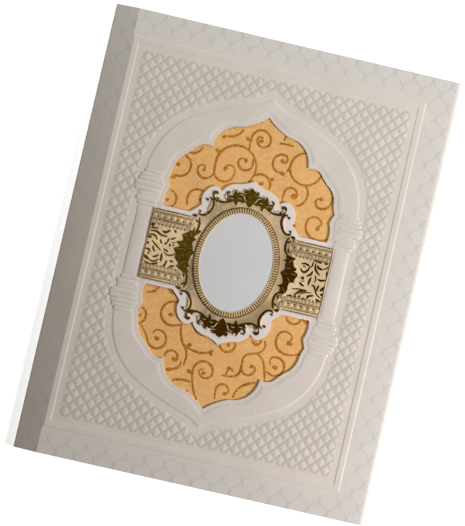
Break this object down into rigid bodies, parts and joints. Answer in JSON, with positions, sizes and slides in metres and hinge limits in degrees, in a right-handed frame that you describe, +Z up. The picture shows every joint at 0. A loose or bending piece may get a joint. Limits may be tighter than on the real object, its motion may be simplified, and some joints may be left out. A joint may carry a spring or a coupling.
{
  "type": "wedding invitation card",
  "caption": "Folded portrait card with a pressed lattice border, scalloped windows over patterned paper, and an oval medallion on a strap between them.",
  "frame": {"origin": "middle of the card's underside, on the table it lies on", "axes": "+X from the fold to the free edge, +Y to the top edge as read, +Z up out of the front"},
  "size_m": [0.181, 0.23, 0.005],
  "materials": {
    "pearl_card": "pearl card, blind pressed, faint gold trellis print",
    "gold_print": "bronze and dark brown print on pressed card, satin",
    "swirl_paper": "peach paper with glittered scrolls",
    "leaf_paper": "plain uncoated ivory leaves"
  },
  "bodies": {
    "root": {"cover": "pearl_card", "window_lining": "swirl_paper", "inner_leaves": "leaf_paper"}
  },
  "joints": []
}
